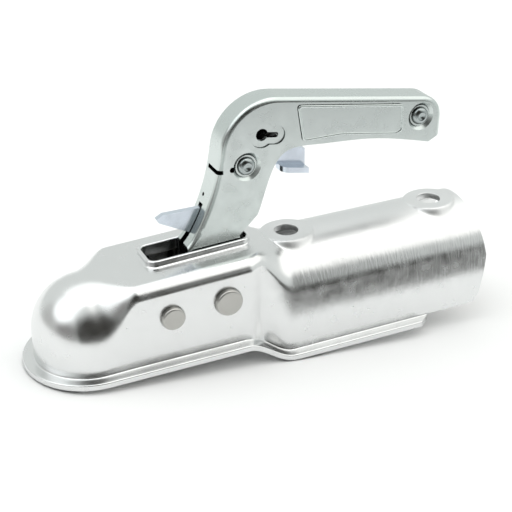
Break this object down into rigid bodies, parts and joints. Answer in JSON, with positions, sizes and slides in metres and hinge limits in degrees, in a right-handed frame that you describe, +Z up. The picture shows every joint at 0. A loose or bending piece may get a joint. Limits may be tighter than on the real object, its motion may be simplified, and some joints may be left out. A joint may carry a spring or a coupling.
{
  "type": "trailer coupling head",
  "caption": "Pressed zinc-plated trailer coupling head with a ball dome, a drawbar socket with raised bolt pads, a curved lift handle and a sprung safety catch.",
  "frame": {"origin": "centre of the tow ball when it sits in the dome", "axes": "+X rearward along the drawbar, +Z up, -Y the side with the pin heads"},
  "size_m": [0.261, 0.075, 0.1391],
  "materials": {
    "zinc_body": "bright zinc plate",
    "zinc_handle": "bright zinc plate",
    "zinc_catch": "blue zinc plate",
    "plain_steel_pin": "turned steel",
    "bright_rivet": "polished",
    "steel_sleeve": "turned steel",
    "forged_steel": "forged, oiled",
    "spring_steel": "dark spring wire"
  },
  "bodies": {
    "shell": {"body_shell": "zinc_body", "jaw_pin": "plain_steel_pin", "handle_pin": "plain_steel_pin", "jaw_sleeve_near": "steel_sleeve", "jaw_sleeve_far": "steel_sleeve", "handle_sleeve_near": "steel_sleeve", "handle_sleeve_far": "steel_sleeve", "jaw_spring": "spring_steel", "handle_spring": "spring_steel"},
    "jaw": {"clamp_jaw": "forged_steel"},
    "handle": {"handle_channel": "zinc_handle", "pressure_cam": "forged_steel", "cam_rivet": "plain_steel_pin", "grip_rivet": "bright_rivet", "grip_sleeve": "steel_sleeve", "catch_rivet": "bright_rivet", "catch_sleeve_near": "steel_sleeve", "catch_sleeve_far": "steel_sleeve", "catch_spring": "spring_steel"},
    "catch": {"safety_catch": "zinc_catch"}
  },
  "joints": [
    {"name": "handle_lift", "type": "hinge", "parent": "shell", "child": "handle", "pos_m": [0.0672, 0, 0.0128], "axis": [0, -1, 0], "range_deg": [0, 42]},
    {"name": "jaw_swing", "type": "hinge", "parent": "shell", "child": "jaw", "pos_m": [0.0365, 0, 0.0112], "axis": [0, -1, 0], "range_deg": [0, 20]},
    {"name": "catch_pull", "type": "hinge", "parent": "handle", "child": "catch", "pos_m": [0.088, 0, 0.0758], "axis": [0, -1, 0], "range_deg": [0, 28]}
  ],
  "couplings": [
    {"joint": "jaw_swing", "follows": "handle_lift", "ratio": 0.476},
    {"joint": "catch_pull", "follows": "handle_lift", "ratio": 0.6666}
  ]
}
